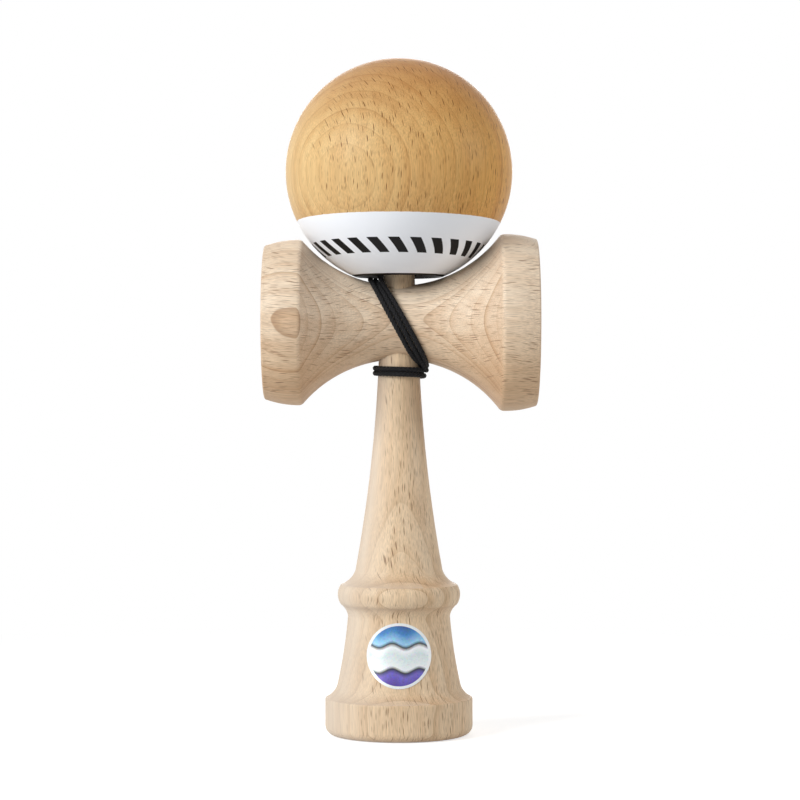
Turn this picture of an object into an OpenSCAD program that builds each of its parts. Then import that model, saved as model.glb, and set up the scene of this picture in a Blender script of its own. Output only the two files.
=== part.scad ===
// Kendama: a turned wooden handle with a cup in its base, a crosspiece with a cup at each end,
// a drilled ball that sits on the handle's spike, and the string that ties them together.
// Millimetres. The base stands on z = 0, +Z runs up the handle and +X points to the large cup.

/* [Handle] */
// Length of the handle, from its base to the tip of the spike
ken_h = 157; // [145:1:165]
// Radius of the base
base_r = 19.5; // [18.5:0.1:21]
// Height of the band round the base
base_h = 9.9; // [8:0.1:11]
// Rounding under the base
base_round = 2.5; // [1.5:0.1:3]
// Rounding on top of the base's band
base_lip = 0.6; // [0.3:0.1:1]
// Radius of the cup in the base, at its rim
base_cup_r = 15.4; // [12:0.1:15.6]
// Depth of the cup in the base
base_cup_depth = 6; // [4:0.1:9]
// Radius at the foot of the flare
flare_r = 16.35; // [15:0.05:17]
// Height of the cove between the base's band and the flare
flare_cove_h = 3.1; // [2:0.1:4]
// Radius of the narrow place under the collar
grip_r = 13.5; // [11:0.1:14.5]
// Height of the narrow place under the collar
grip_z = 31.2; // [29:0.1:32]
// Radius of the collar
collar_r = 16.2; // [15.6:0.1:19]
// Height of the middle of the collar
collar_z = 37; // [36:0.1:38]
// Height of the collar between its edges
collar_h = 5.2; // [4:0.1:6]
// How far the collar swells past its edges
collar_swell = 0.8; // [0.4:0.1:1.2]
// Radius of the shoulder, where the long taper starts
shoulder_r = 11.5; // [10:0.1:13]
// Height of the shoulder
shoulder_z = 43.5; // [42:0.1:46]
// Radius of the handle where its seat for the crosspiece starts
seat_r = 5.4; // [5:0.05:6]
// Radius that the seat loses per millimetre of height
seat_taper = 0.055; // [0.045:0.001:0.06]
// Radius of the spike just under its rounded tip
tip_r = 2.6; // [2:0.1:3.2]

/* [Crosspiece] */
// Height of the crosspiece's axis above the base
sarado_z = 108.9; // [104:0.1:112]
// Distance from the handle's axis to the large cup's rim
big_reach = 36.5; // [35:0.1:39]
// Distance from the handle's axis to the small cup's rim
small_reach = 35.6; // [34:0.1:38]
// Radius of the crosspiece at its waist
waist_r = 9.8; // [9:0.1:11]
// Radius of the saddle's hollow on both sides of the waist
saddle_r = 33.5; // [32:0.1:38]
// Largest radius of the large cup
big_r = 23.4; // [22.6:0.1:25]
// Radius of the large cup's rim, outside
big_rim_r = 22.2; // [21:0.1:22.4]
// Radius of the large cup's dish at its rim
big_dish_r = 20.5; // [18:0.1:20.7]
// Depth of the large cup's dish
big_dish_depth = 9.5; // [7:0.1:12]
// Largest radius of the small cup
small_r = 21.9; // [21:0.1:22.5]
// Radius of the small cup's rim, outside
small_rim_r = 20.5; // [19.6:0.1:20.9]
// Radius of the small cup's dish at its rim
small_dish_r = 18.9; // [17:0.1:19.1]
// Depth of the small cup's dish
small_dish_depth = 8; // [6:0.1:11]
// Rounding on the outside of both rims
rim_round = 0.7; // [0.3:0.1:0.9]
// Clearance all round between the handle's seat and the crosspiece
seat_clear = 0.05; // [0.02:0.01:0.1]

/* [Ball] */
// Radius of the ball
tama_r = 30; // [26:0.1:34]
// Radius of the ball's hole
hole_r = 10.4; // [9.5:0.1:11]
// Width of the bevel at the mouth of the hole
hole_bevel = 0.8; // [0.4:0.1:1.2]
// Width of the flat land round the bevel
hole_land = 0.3; // [0.2:0.1:0.6]
// Wood left between the top of the hole and the ball's crown
crown_wall = 8.9; // [7:0.1:12]
// Gap between the mouth of the hole and the saddle
rest_gap = 0.25; // [0.1:0.05:0.6]
// Radius of the string hole through the top of the ball
crown_hole_r = 1.5; // [1.2:0.1:2]
// Radius of the recess for the knot on top of the ball
crown_recess_r = 2.4; // [2.3:0.1:3]
// Radius of the bead inside the ball
bead_r = 3.5; // [3:0.1:4]
// Radius of the bead's hole
bead_hole_r = 0.9; // [0.8:0.05:1.2]
// Least room over the spike's tip, where the string turns into the bead
bead_room = 5; // [4.5:0.1:6]

/* [String] */
// Diameter of the string
string_d = 1.1; // [0.9:0.05:1.2]
// Gap between the string and the wood that it is wound on, and between its strands
string_gap = 0.45; // [0.42:0.01:0.5]
// Radius of the knot in the crosspiece
inner_knot_r = 1.3; // [1.1:0.1:1.4]
// Radius of the knot on top of the ball
crown_knot_r = 2; // [1.7:0.1:2]

/* [Label] */
// Diameter of the round foil label on the flare
label_d = 16.8; // [12:0.1:17]
// Thickness of the label's foil
label_t = 0.12; // [0.08:0.01:0.2]

/* [Hidden] */
$fn = 96;

// Gap of parts that only touch, and the overshoot of cuts
touch = 0.02;
over = 1;

// Middle height of a quarter circle above its chord, as a share of its radius
QUARTER = 1 - cos(45);
// Straight pieces in one curved stretch of an outline
ARC_STEPS = 10;
// Hollow of the coves, the flare and the long taper, at their middles
flare_cove_sag = 0.35;
flare_sag = 0.33;
collar_cove_sag = 0.4;
shoulder_sag = 0.65;
taper_sag = 0.97;
// Swell of the cups' outer bands, and the eased edge between a band and the saddle
band_swell = 0.35;
edge_run = 0.7;
edge_swell = 0.2;

// The handle's seat reaches from a little under the crosspiece to a little over it
seat_reach = 10.6;
seat_z = sarado_z - seat_reach;
neck_z = sarado_z + seat_reach;
neck_r = seat_r - seat_taper * (neck_z - seat_z);

// Radius of the handle's seat at height z
function seat_at(z) = seat_r - seat_taper * (z - seat_z);

// Radius of the crosspiece at x, between the cups
function saddle_at(x) = waist_r + saddle_r - sqrt(saddle_r * saddle_r - x * x);

// Distance from the waist at which the saddle reaches radius r
function saddle_x(r) = sqrt(saddle_r * saddle_r - pow(waist_r + saddle_r - r, 2));

// Points of a round stretch from p to q, without p. Its middle stands h to the right of the chord
function stretch(p, q, h) =
    h == 0 ? [q] :
    let (
        chord = norm(q - p),
        along = (q - p) / chord,
        right = [along[1], -along[0]],
        radius = (chord * chord / 4 + h * h) / (2 * h),
        centre = (p + q) / 2 + (h - radius) * right,
        half = asin(chord / (2 * radius))
    )
    [for (i = [1 : ARC_STEPS])
        let (a = half * (2 * i / ARC_STEPS - 1))
        centre + radius * (cos(a) * right + sin(a) * along)];

// Points of an outline given as corners [radius, height, bulge of the stretch that leads there]
function outline(corners) = [
    [corners[0][0], corners[0][1]],
    for (i = [1 : len(corners) - 1])
        let (p = corners[i - 1], q = corners[i])
        each stretch([p[0], p[1]], [q[0], q[1]], q[2])
];

// Radius of the sphere whose cap has rim radius r and depth d
function dish_sphere(r, d) = (r * r + d * d) / (2 * d);

// Handle: the flare's corners are shared with the label
flare_foot = [flare_r, base_h + flare_cove_h];
flare_top = [grip_r, grip_z];
label_z = (flare_foot[1] + flare_top[1]) / 2;
collar_edge_r = collar_r - collar_swell;

ken_corners = [
    [0, 0, 0],
    [base_r - base_round, 0, 0],
    [base_r, base_round, QUARTER * base_round],
    [base_r, base_h - base_lip, 0],
    [base_r - base_lip, base_h, QUARTER * base_lip],
    [flare_foot[0], flare_foot[1], -flare_cove_sag],
    [flare_top[0], flare_top[1], -flare_sag],
    [collar_edge_r, collar_z - collar_h / 2, -collar_cove_sag],
    [collar_edge_r, collar_z + collar_h / 2, collar_swell],
    [shoulder_r, shoulder_z, -shoulder_sag],
    [seat_r, seat_z, -taper_sag],
    [neck_r, neck_z, 0],
    [tip_r, ken_h - tip_r, 0],
    [0, ken_h, QUARTER * tip_r]
];

// Crosspiece: its outline runs from the small cup's face to the large cup's face
big_edge_x = saddle_x(big_r);
small_edge_x = saddle_x(small_r);
saddle_from = edge_run - small_edge_x;
saddle_to = big_edge_x - edge_run;
SADDLE_STEPS = 40;

sarado_points = concat(
    outline([
        [0, -small_reach, 0],
        [small_rim_r - rim_round, -small_reach, 0],
        [small_rim_r, rim_round - small_reach, QUARTER * rim_round],
        [small_r, -small_edge_x - edge_run, band_swell],
        [saddle_at(saddle_from), saddle_from, edge_swell]
    ]),
    [for (i = [1 : SADDLE_STEPS - 1])
        let (x = saddle_from + (saddle_to - saddle_from) * i / SADDLE_STEPS)
        [saddle_at(x), x]],
    outline([
        [saddle_at(saddle_to), saddle_to, 0],
        [big_r, big_edge_x + edge_run, edge_swell],
        [big_rim_r, big_reach - rim_round, band_swell],
        [big_rim_r - rim_round, big_reach, QUARTER * rim_round],
        [0, big_reach, 0]
    ])
);

// Ball: places of its hole's mouth, its hole's top and the bead in the hole, from its centre
bead_gap = 0.3;
mouth_r = hole_r + hole_bevel + hole_land;
mouth_drop = sqrt(tama_r * tama_r - mouth_r * mouth_r);
hole_rise = tama_r - crown_wall;
bead_rise = hole_rise - bead_gap - bead_r;
// The ball comes down until the mouth lies just over the saddle or, on a spike that is too long for
// the hole, until the bead has only its least room over the tip
on_saddle_z = sarado_z + saddle_at(mouth_r) + rest_gap + mouth_drop;
on_tip_z = ken_h + bead_room + bead_r - bead_rise;
tama_z = max(on_saddle_z, on_tip_z);
mouth_z = tama_z - mouth_drop;
hole_top_z = tama_z + hole_rise;
bead_z = tama_z + bead_rise;
crown_z = tama_z + tama_r;
knot_gap = 0.3;
crown_recess = 2 * (crown_knot_r + knot_gap);
crown_knot_z = crown_z - crown_recess / 2;

// String: the hole through the back of the waist, and the pocket for its knot
string_r = string_d / 2;
string_hole_x = -3.5;
string_hole_z = sarado_z - 3.4;
string_hole_r = string_r + 0.3;
pocket_r = inner_knot_r + knot_gap;
inner_knot_from_axis = seat_at(string_hole_z) + seat_clear + inner_knot_r + knot_gap / 2;
inner_knot_y = sqrt(pow(inner_knot_from_axis, 2) - pow(string_hole_x, 2));
pocket_end_y = inner_knot_y + inner_knot_r + knot_gap / 2;
flat_share = 0.8;
inner_flat_y = inner_knot_y + flat_share * inner_knot_r;
crown_flat_z = crown_knot_z - flat_share * crown_knot_r;

// The winding: turns round the handle under the crosspiece, then slanting passes across its waist.
// A pass rises over the front to the left of the spike and comes down behind to the handle's right
LOOP_RINGS = 24;
WRAP_TURNS = 2.25;
PASSES = 3;
LAST_PASS_END = 130;
lay = string_r + string_gap;
pitch = string_d + string_gap;
// Sideways distance of the slanting strands, as a share of their distance square to the slant
slant_share = 1.22;
strand_step = slant_share * pitch;
wrap_drop = saddle_at(seat_r + lay) + lay + (1.14 + WRAP_TURNS) * pitch;
wrap_z = sarado_z - wrap_drop;
wrap_r = seat_at(wrap_z) + lay - touch;

// Sideways places of pass n beside the handle, at the bottom, and beside the spike, at the top.
// The second pass lies against the handle, and the first one in front of it
function low_x(n) = wrap_r + (n - 1) * strand_step;
function high_x(n) = -neck_r - lay - (PASSES - 1 - n) * strand_step;

// Smooth step from 0 to 1
function ease(t) = let (s = max(0, min(1, t))) s * s * (3 - 2 * s);

// The first pass leaves the turns under the second one and swings up beside it
SWING_END = 60;
swing_drop = 1.1 * pitch;
function swing(a) = 90 * (1 - ease(a / SWING_END));

// Number of the pass at angle a, which steps on behind the crosspiece
function pass_at(a) = floor(a / 360) + ease((a % 360) / 180 - 1) + 1 - cos(swing(a));

// Point of the passes at angle a: 0 is at the handle's right, 90 at the front, 180 at the top left
function pass_point(a) =
    let (
        n = pass_at(a),
        mid_x = (low_x(n) + high_x(n)) / 2,
        half_x = (low_x(n) - high_x(n)) / 2,
        low = saddle_at(low_x(n)) + lay,
        high = saddle_at(high_x(n)) + lay,
        reach = (low + high) / 2 + (low - high) / 2 * cos(a) + swing_drop * sin(swing(a))
    )
    [mid_x + half_x * cos(a), -(waist_r + lay) * sin(a), sarado_z - reach * cos(a)];

// Point of the turns round the handle, u turns from their start at the back. They start wide,
// because the lead comes down outside them
wrap_rise = (pass_point(0)[2] - wrap_z) / WRAP_TURNS;
lead_room = 1.7;
function wrap_point(u) =
    let (r = wrap_r + lead_room * (1 - ease(2 * u)), a = 90 - 360 * u)
    [r * cos(a), r * sin(a), wrap_z + wrap_rise * u];

// Points of a smooth curve through the given points, with a number of steps in each stretch
function through(points, steps) = [
    for (i = [0 : len(points) - 2])
        let (
            b = points[i],
            c = points[i + 1],
            a = i == 0 ? 2 * b - c : points[i - 1],
            d = i == len(points) - 2 ? 2 * c - b : points[i + 2]
        )
        for (k = [0 : steps - 1])
            let (t = k / steps)
            (2 * b + (c - a) * t + (2 * a - 5 * b + 4 * c - d) * t * t
                + (3 * b - a - 3 * c + d) * t * t * t) / 2,
    points[len(points) - 1]
];

// The lead comes out of the string hole and runs down to the turns. Its first points are measured
// from the middle of the waist's back, and the next ones from the start of the turns
lead_high = [
    [-3.5, -0.4, -3.4],
    [-3.5, 0.8, -4],
    [-3.3, 0.6, -6],
    [-2.9, -0.2, -8.5],
    [-2.5, -1.1, -11]
];
lead_low = [
    [-2, 0.1, 3.2],
    [-1.2, 0, 1.2]
];
lead_path = concat(
    [[string_hole_x, inner_flat_y + touch, string_hole_z]],
    through(concat(
        [[string_hole_x, inner_flat_y + touch + string_d, string_hole_z]],
        [for (p = lead_high) p + [0, waist_r, sarado_z]],
        [for (p = lead_low) p + [0, wrap_r + lead_room, wrap_z]]), 2)
);

wrap_rings = WRAP_TURNS * LOOP_RINGS;
pass_end = 360 * (PASSES - 1) + LAST_PASS_END;
pass_rings = floor(pass_end / 360 * LOOP_RINGS);
winding_end = pass_point(pass_end);
winding_way = (winding_end - pass_point(pass_end - 1)) / norm(winding_end - pass_point(pass_end - 1));

winding_path = concat(
    lead_path,
    [for (i = [0 : wrap_rings - 1]) wrap_point(i / LOOP_RINGS)],
    [for (i = [0 : pass_rings]) pass_point(pass_end * i / pass_rings)],
    [winding_end + string_d * winding_way]
);

// The tail leaves the last pass, climbs beside the spike and ends at the knot on top of the ball.
// Heights of the first points are from the crosspiece's axis, and of the next ones from the tip
tail_low = [
    [-4.4, -5.2, 10.6],
    [-5.2, -4.2, 12.8],
    [-5.4, -3.6, 16],
    [-5.4, -3.2, 22],
    [-5.2, -2.8, 29]
];
tail_high = [
    [-4.8, -2.2, -12],
    [-4.2, -1.8, -5],
    [-3, -1.2, 0.5],
    [-1, -0.4, 3]
];
tail_start = winding_end + (string_d + touch) * winding_way;
tail_path = concat(
    [tail_start],
    through(concat(
        [tail_start + string_d * winding_way],
        [for (p = tail_low) p + [0, 0, sarado_z]],
        [for (p = tail_high) p + [0, 0, ken_h]],
        [[0, 0, bead_z - bead_r - 0.7], [0, 0, bead_z], [0, 0, hole_top_z]]), 3),
    [[0, 0, crown_flat_z - touch - string_d], [0, 0, crown_flat_z - touch]]
);

// Least distance between strands: each point of the path to every piece that isn't its neighbour
NEAR_RINGS = 7;
function to_piece(p, a, b) =
    let (t = max(0, min(1, (p - a) * (b - a) / ((b - a) * (b - a)))))
    norm(p - a - t * (b - a));
function least_gap(path) = min([
    for (i = [0 : len(path) - NEAR_RINGS - 2])
        for (j = [i + NEAR_RINGS : len(path) - 2])
            to_piece(path[i], path[j], path[j + 1])
]) - string_d;
function run_length(path, i = 1) =
    i == len(path) ? 0 : norm(path[i] - path[i - 1]) + run_length(path, i + 1);
echo(str("least gap between strands of the winding: ", least_gap(winding_path), " mm"));
echo(str("start of the turns: ", wrap_z, " mm, their rise: ", wrap_rise, " mm"));
echo(str("length of the winding: ", run_length(winding_path), " mm"));
echo(str("length of the tail: ", run_length(tail_path), " mm"));

// Direction of the path at ring i
function way(path, i) =
    let (step = path[min(i + 1, len(path) - 1)] - path[max(i - 1, 0)])
    step / norm(step);

// The part of v that is square to w, with length 1
function square_to(v, w) = let (s = v - (v * w) * w) s / norm(s);

// Tube of diameter d along a path, with flat ends. Its rings turn with the path and don't twist
module tube(path, d, sides) {
    rings = len(path);
    first = square_to([0.3, 0.5, 0.8], way(path, 0));
    spokes = [
        for (i = 0, u = first; i < rings; i = i + 1, u = square_to(u, way(path, min(i, rings - 1)))) u
    ];
    points = [
        for (i = [0 : rings - 1])
            let (u = spokes[i], v = cross(way(path, i), u))
            for (k = [0 : sides - 1])
                path[i] + d / 2 * (cos(360 * k / sides) * u + sin(360 * k / sides) * v)
    ];
    last = (rings - 1) * sides;
    faces = [
        for (k = [1 : sides - 2]) [0, k, k + 1],
        for (k = [1 : sides - 2]) [last, last + k + 1, last + k],
        for (i = [0 : rings - 2])
            for (k = [0 : sides - 1])
                let (a = i * sides + k, b = i * sides + (k + 1) % sides)
                each [[a, a + sides, b + sides], [a, b + sides, b]]
    ];
    polyhedron(points, faces, convexity = 10);
}

// Solid ball of radius r with one flat, square to +Z, at a share of its radius
module knot(r) {
    intersection() {
        sphere(r);
        translate([-2 * r, -2 * r, -2 * r])
            cube([4 * r, 4 * r, (2 + flat_share) * r]);
    }
}

// Turned handle with its base cup
module ken() {
    cup_sphere = dish_sphere(base_cup_r, base_cup_depth);
    color("burlywood")
        difference() {
            rotate_extrude()
                polygon(outline(ken_corners));
            translate([0, 0, base_cup_depth - cup_sphere])
                sphere(cup_sphere);
        }
}

// Turned crosspiece with a dish in each end, the handle's hole and the string's hole
module sarado() {
    big_sphere = dish_sphere(big_dish_r, big_dish_depth);
    small_sphere = dish_sphere(small_dish_r, small_dish_depth);
    seat_from = seat_z - sarado_z;
    color("wheat")
        translate([0, 0, sarado_z])
            difference() {
                rotate([0, 90, 0])
                    rotate_extrude()
                        polygon(sarado_points);
                translate([big_reach - big_dish_depth + big_sphere, 0, 0])
                    sphere(big_sphere);
                translate([small_dish_depth - small_reach - small_sphere, 0, 0])
                    sphere(small_sphere);
                translate([0, 0, seat_from])
                    cylinder(h = neck_z - seat_z, r1 = seat_r + seat_clear, r2 = neck_r + seat_clear);
                translate([string_hole_x, 0, string_hole_z - sarado_z])
                    rotate([-90, 0, 0]) {
                        cylinder(h = pocket_end_y, r = pocket_r);
                        cylinder(h = 2 * waist_r, r = string_hole_r);
                    }
            }
}

// Drilled ball
module tama() {
    bevel_r = hole_r + hole_bevel;
    color("goldenrod")
        difference() {
            translate([0, 0, tama_z])
                sphere(tama_r);
            translate([0, 0, tama_z - tama_r - over])
                cylinder(h = mouth_z - tama_z + tama_r + over, r = tama_r);
            translate([0, 0, mouth_z - over])
                cylinder(h = hole_top_z - mouth_z + over, r = hole_r);
            translate([0, 0, mouth_z - over])
                cylinder(h = hole_bevel + over, r1 = bevel_r + over, r2 = hole_r);
            translate([0, 0, hole_top_z - over])
                cylinder(h = crown_z - hole_top_z + 2 * over, r = crown_hole_r);
            translate([0, 0, crown_z - crown_recess])
                cylinder(h = crown_recess + over, r = crown_recess_r);
        }
}

// Bead on the string, at the top of the ball's hole
module bead() {
    color("tan")
        translate([0, 0, bead_z])
            difference() {
                sphere(bead_r);
                translate([0, 0, -bead_r - over])
                    cylinder(h = 2 * (bead_r + over), r = bead_hole_r);
            }
}

// Round foil label that follows the flare at the front
module label() {
    skin = outline([[flare_foot[0], flare_foot[1], 0], [flare_top[0], flare_top[1], -flare_sag]]);
    inside = [for (p = skin) p + [touch, 0]];
    outside = [for (i = [len(skin) - 1 : -1 : 0]) skin[i] + [touch + label_t, 0]];
    color("royalblue")
        intersection() {
            rotate_extrude()
                polygon(concat(inside, outside));
            translate([0, 0, label_z])
                rotate([90, 0, 0])
                    cylinder(h = 2 * base_r, r = label_d / 2);
        }
}

// String from the crosspiece's hole, round the handle and across the waist
module string_winding() {
    color("black")
        tube(winding_path, string_d, 6);
}

// String up beside the spike, through the bead and the top of the ball
module string_tail() {
    color("black")
        tube(tail_path, string_d, 8);
}

// Knot that holds the string inside the crosspiece
module sarado_knot() {
    color("black")
        translate([string_hole_x, inner_knot_y, string_hole_z])
            rotate([-90, 0, 0])
                knot(inner_knot_r);
}

// Knot that holds the string on top of the ball
module crown_knot() {
    color("black")
        translate([0, 0, crown_knot_z])
            rotate([180, 0, 0])
                knot(crown_knot_r);
}

ken();
sarado();
tama();
bead();
label();
string_winding();
string_tail();
sarado_knot();
crown_knot();
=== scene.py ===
# %% [markdown]
# A kendama is a cup-and-ball toy. Its handle, crosspiece and ball are turned on a lathe from beech,
# and a black braided string ties them together. The CAD model already holds the turned shapes at
# their real size, so this lesson adds what a lathe drawing doesn't: the grain of the wood, the
# lacquer and the paint, the braid of the string, and the light. The model is loaded first, because
# every piece is placed from it, and its box is kept, because no looks may change the size.

# %% Load the turned parts
import math

import bpy
import numpy as np
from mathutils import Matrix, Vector


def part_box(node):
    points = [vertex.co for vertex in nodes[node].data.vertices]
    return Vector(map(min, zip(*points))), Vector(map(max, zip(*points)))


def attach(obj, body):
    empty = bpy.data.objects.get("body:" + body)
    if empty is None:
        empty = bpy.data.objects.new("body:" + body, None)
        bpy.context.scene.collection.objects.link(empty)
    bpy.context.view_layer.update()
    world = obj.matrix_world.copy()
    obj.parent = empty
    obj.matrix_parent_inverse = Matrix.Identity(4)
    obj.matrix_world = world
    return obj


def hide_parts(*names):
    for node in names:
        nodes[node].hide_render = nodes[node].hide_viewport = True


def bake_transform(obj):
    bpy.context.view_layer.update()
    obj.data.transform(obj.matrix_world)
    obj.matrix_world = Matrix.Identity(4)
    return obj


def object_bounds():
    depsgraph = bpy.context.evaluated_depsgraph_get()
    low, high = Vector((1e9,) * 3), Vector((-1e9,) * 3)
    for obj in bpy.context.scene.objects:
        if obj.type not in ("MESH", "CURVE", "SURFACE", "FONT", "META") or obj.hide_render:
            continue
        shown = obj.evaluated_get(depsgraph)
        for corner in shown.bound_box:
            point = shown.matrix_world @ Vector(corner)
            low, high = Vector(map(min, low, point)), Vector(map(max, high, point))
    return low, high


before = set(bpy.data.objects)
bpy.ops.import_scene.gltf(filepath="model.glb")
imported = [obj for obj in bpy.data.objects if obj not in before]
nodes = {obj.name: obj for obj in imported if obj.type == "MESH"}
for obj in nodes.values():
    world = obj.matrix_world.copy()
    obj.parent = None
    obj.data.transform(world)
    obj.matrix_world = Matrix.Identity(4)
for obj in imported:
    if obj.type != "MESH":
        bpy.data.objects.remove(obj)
MM = 0.001
scene = bpy.context.scene
cad_low, cad_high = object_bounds()
print("toy at rest, mm:", [round(s / MM, 1) for s in cad_high - cad_low])

# %% [markdown]
# The toy is seen straight from the front, from about half its height, with a long lens. A long lens
# far away keeps the cups and the ball close to their drawn outlines, while the base still shows a
# little of its curve. The lens follows from the scale of the picture: so many pixels for each
# millimetre at the handle's axis.

# %% Camera
PICTURE_PX = 800
PX_PER_MM = 3.775
VIEW_DISTANCE = 650
EYE_X = 0.27
EYE_Z = 88.4
SENSOR = 36

camera_data = bpy.data.cameras.new("camera")
camera_data.sensor_width = SENSOR
camera_data.lens = SENSOR * PX_PER_MM * VIEW_DISTANCE / PICTURE_PX
camera = bpy.data.objects.new("camera", camera_data)
camera.location = Vector((EYE_X, -VIEW_DISTANCE, EYE_Z)) * MM
camera.rotation_euler = (math.radians(90), 0, 0)
scene.collection.objects.link(camera)
scene.camera = camera
print("lens, mm:", round(camera_data.lens, 1))

# %% [markdown]
# The string comes next, since its route has to be right before anything is laid on it. It starts at
# a knot inside the crosspiece, comes out at the back, takes two turns round the handle, crosses the
# front of the waist three times on a slant and climbs beside the spike into the ball. The turns and
# the passes come from formulas, and the free stretches are curves through a few chosen points. All
# lengths of the route are in millimetres. What the boxes of the CAD parts show is measured from them,
# and the radii that they don't show are repeated here.

# %% Sizes that the string is laid on
string_d = 1.42
SURFACE_GAP = 0.06
lay = string_d / 2 + SURFACE_GAP
waist_r = 9.8
saddle_r = 33.5
seat_r = 5.4
seat_taper = 0.055
seat_reach = 10.6

cross_low, cross_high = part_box("sarado")
cross_z = (cross_low.z + cross_high.z) / 2 / MM
seat_z = cross_z - seat_reach
tip_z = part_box("ken")[1].z / MM
bead_low, bead_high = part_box("bead")
bead_z = (bead_low.z + bead_high.z) / 2 / MM
bead_r = (bead_high.x - bead_low.x) / 2 / MM
inner_knot = sum(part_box("sarado_knot"), Vector()) / 2 / MM
inner_flat_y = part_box("sarado_knot")[1].y / MM
crown_flat_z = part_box("crown_knot")[0].z / MM
print("crosspiece at", round(cross_z, 2), "tip at", round(tip_z, 2), "bead at", round(bead_z, 2))

# %% [markdown]
# Two surfaces carry the string: the handle, which is a slim cone there, and the waist of the
# crosspiece, which is a hollow arc turned round the cross axis. Ray casts on the meshes could find
# them, but their radii are short formulas, so any point of the string can ask how far out it has to
# lie. The turns begin so far under the crosspiece that the last of them ends where the passes begin.
# A tight string flattens, so its turns lie a little closer together than its thickness.

# %% Surfaces under the string
WRAP_TURNS = 2.25
TURN_PITCH = 1.18
BUNDLE_DROP = (0.55, 1.6, 0.05)


def handle_radius(z):
    return seat_r - seat_taper * (z - seat_z)


def saddle_radius(x):
    return waist_r + saddle_r - np.sqrt(saddle_r**2 - x**2)


wrap_z = cross_z - saddle_radius(seat_r + lay) - lay - BUNDLE_DROP[0] - WRAP_TURNS * TURN_PITCH
wrap_r = handle_radius(wrap_z) + lay
print("turns start at", round(wrap_z, 2), "with radius", round(wrap_r, 2))

# %% [markdown]
# The passes follow one closed loop round the waist, from the handle's right over the front to the
# left of the spike and back behind. Each time round, the loop steps one strand sideways. The smooth
# step keeps that sidestep at the back, so at the front the three strands lie side by side, and spread
# a little more at the middle. Under the crosspiece the handle is in their way, so there they are
# squeezed into a bundle at its right side, each with its own place out from the handle and down from
# the waist.

# %% Slanting passes
PASSES = 3
LAST_PASS = 130
PASS_END = 360 * (PASSES - 1) + LAST_PASS
LOW_STEP = 1.5
HIGH_STEP = 1.3
LOW_INSET = 1.85
SQUEEZE_END = 42
BUNDLE_OUT = (0, 0.95, 0.95)
MID_SPREAD = 0.2


def ease(t):
    s = np.clip(t, 0, 1)
    return s * s * (3 - 2 * s)


def low_x(n):
    return wrap_r - LOW_INSET + n * LOW_STEP


def high_x(n):
    return -handle_radius(cross_z + seat_reach) - lay - (PASSES - 1 - n) * HIGH_STEP


def bundled(n, places):
    return np.interp(n, range(PASSES), places)


def passes(angle):
    """Points of the slanting passes, for an array of angles in degrees."""
    n = np.floor(angle / 360) + ease((angle % 360) / 180 - 1)
    squeeze = ease(1 - np.abs((angle + 180) % 360 - 180) / SQUEEZE_END)
    cosine, sine = np.cos(np.radians(angle)), np.sin(np.radians(angle))
    low, high = saddle_radius(low_x(n)) + lay, saddle_radius(high_x(n)) + lay
    reach = (low + high) / 2 + (low - high) / 2 * cosine + squeeze * bundled(n, BUNDLE_DROP)
    x = (low_x(n) + high_x(n)) / 2 + (low_x(n) - high_x(n)) / 2 * cosine
    x = x + squeeze * (wrap_r + bundled(n, BUNDLE_OUT) - low_x(n)) + MID_SPREAD * n * ease(sine)
    return np.stack([x, -(waist_r + lay) * sine, cross_z - reach * cosine], axis=1)


print("first pass starts at", passes(np.array([0.0]))[0].round(2))

# %% [markdown]
# The turns are a helix on the handle. At their start, at the back, the helix is wider, because there
# the string comes down from its hole and has to pass outside the turn that follows.

# %% Turns round the handle
LEAD_ROOM = 1.7
LEAD_TURN = 1 / 3
wrap_rise = (passes(np.array([0.0]))[0, 2] - wrap_z) / WRAP_TURNS


def turns(u):
    """Points of the turns round the handle, for an array of turns from their start at the back."""
    radius = wrap_r + LEAD_ROOM * (1 - ease(u / LEAD_TURN))
    angle = np.radians(90 - 360 * u)
    return np.stack([radius * np.cos(angle), radius * np.sin(angle), wrap_z + wrap_rise * u], axis=1)


print("turns climb", round(wrap_rise, 2), "mm each")

# %% [markdown]
# The free stretches could be Bezier curves with handles to adjust. Catmull-Rom curves are simpler
# here, because they pass through every chosen point. The whole route is sampled in even steps and
# smoothed a little, so that the string bends softly where one formula ends and the next begins, as
# a limp cord does.

# %% Smooth lines
CURVE_STEPS = 24


def through(points):
    """Points of a smooth curve through the given ones."""
    points = np.array(points, float)
    ends = np.concatenate([[2 * points[0] - points[1]], points, [2 * points[-1] - points[-2]]])
    t = np.arange(CURVE_STEPS)[:, None] / CURVE_STEPS
    pieces = []
    for a, b, c, d in zip(ends, ends[1:], ends[2:], ends[3:]):
        bend = (2 * a - 5 * b + 4 * c - d) * t**2 + (3 * b - a - 3 * c + d) * t**3
        pieces.append((2 * b + (c - a) * t + bend) / 2)
    return np.concatenate(pieces + [points[-1:]])


def distances(line):
    """How far along the line each of its points is."""
    return np.concatenate([[0], np.cumsum(np.linalg.norm(np.diff(line, axis=0), axis=1))])


def run_length(line):
    return float(distances(line)[-1])


def even_steps(line, step):
    """The same line with its points the given step apart."""
    along = distances(line)
    places = np.linspace(0, along[-1], int(along[-1] / step) + 1)
    return np.stack([np.interp(places, along, axis) for axis in line.T], axis=1)


def softened(line, reach):
    """The line with each point at the mean of its neighbours, and its ends where they were."""
    before = 2 * line[0] - line[reach:0:-1]
    after = 2 * line[-1] - line[-2 : -reach - 2 : -1]
    padded = np.concatenate([before, line, after])
    window = np.ones(2 * reach + 1) / (2 * reach + 1)
    return np.stack([np.convolve(axis, window, "valid") for axis in padded.T], axis=1)


print("steps between two points of a curve:", CURVE_STEPS)

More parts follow.
